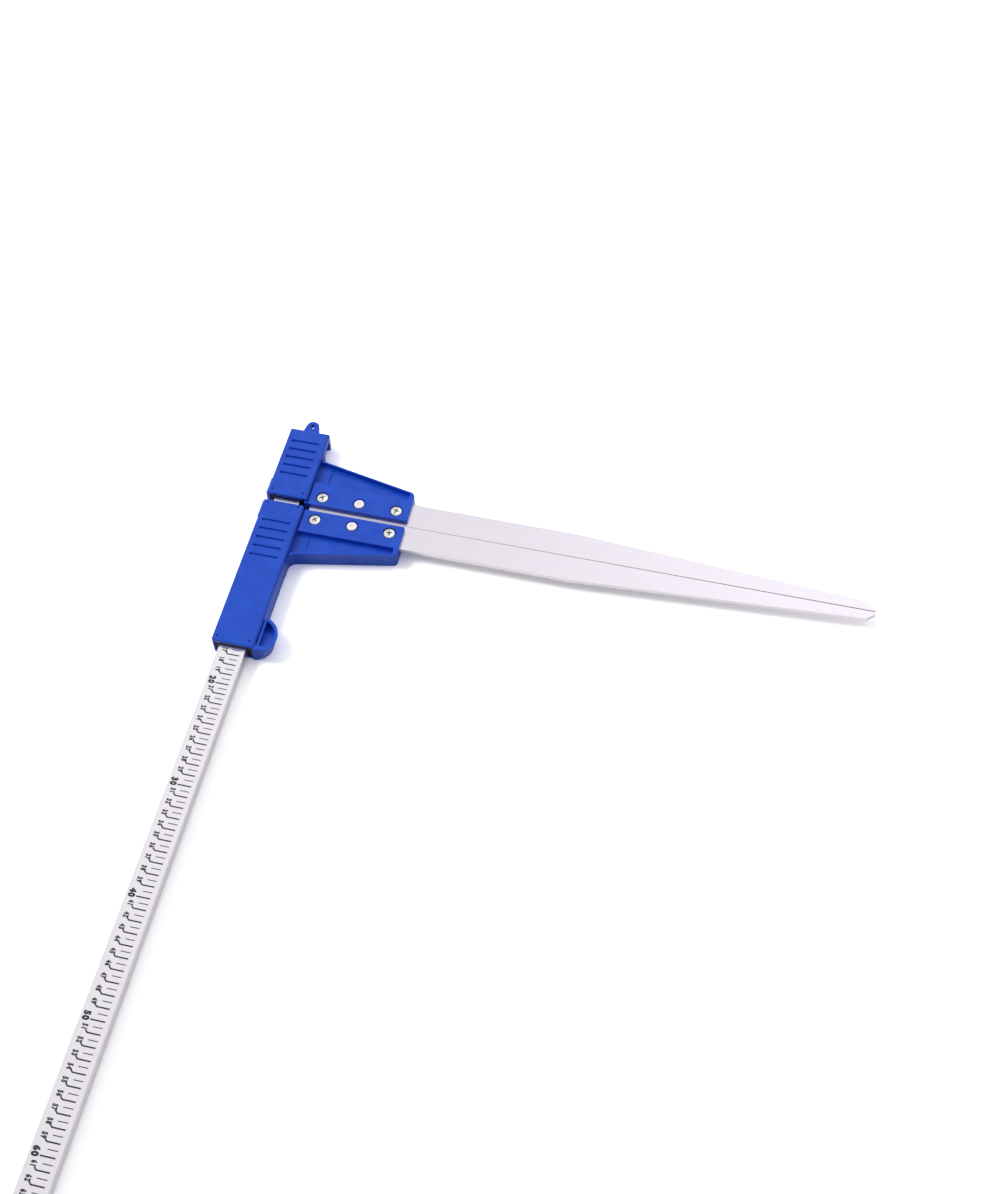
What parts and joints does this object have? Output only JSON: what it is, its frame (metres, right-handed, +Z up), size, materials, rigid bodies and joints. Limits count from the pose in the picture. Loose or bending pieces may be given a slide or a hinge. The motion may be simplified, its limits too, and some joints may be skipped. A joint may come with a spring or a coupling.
{
  "type": "tree caliper",
  "caption": "Forestry caliper: long flat tapered jaws on blue moulded heads, one head fixed and one sliding along a graduated hollow aluminium beam.",
  "frame": {"origin": "on the underside plane that the caliper lies on, below the middle of the beam at the scale's zero, where the closed jaws' measuring faces meet", "axes": "+X along the beam, away from the fixed head, so X is the scale's reading; +Y along the jaws to their tips; +Z up out of the scale face"},
  "size_m": [1.2747, 0.5756, 0.02],
  "materials": {
    "head_plastic": "satin moulded blue plastic",
    "beam_aluminium": "pale satin anodised, printed scale",
    "blade_aluminium": "pale satin anodised",
    "zinc_steel": "bright zinc plated",
    "white_plastic": "white moulded plastic",
    "glide_nylon": "black nylon",
    "pin_steel": "blued steel"
  },
  "bodies": {
    "frame": {"beam": "beam_aluminium", "fixed_head": "head_plastic", "fixed_blade": "blade_aluminium", "fixed_jaw_screws": "zinc_steel", "fixed_jaw_nuts": "zinc_steel", "fixed_jaw_plug": "white_plastic", "fixed_shims": "glide_nylon", "fixed_shim_pins": "pin_steel", "fixed_end_screws": "zinc_steel", "end_stop": "head_plastic", "end_stop_screws": "zinc_steel"},
    "slider": {"sliding_head": "head_plastic", "sliding_blade": "blade_aluminium", "sliding_jaw_screws": "zinc_steel", "sliding_jaw_nuts": "zinc_steel", "sliding_jaw_plug": "white_plastic", "front_side_glides": "glide_nylon", "rear_side_glides": "glide_nylon", "front_glide_pins": "pin_steel", "rear_glide_pins": "pin_steel", "upper_glide_pads": "glide_nylon", "lower_glide_pads": "glide_nylon"}
  },
  "joints": [
    {"name": "jaw_slide", "type": "slide", "parent": "frame", "child": "slider", "axis": [1, 0, 0], "range_m": [0, 1]}
  ]
}
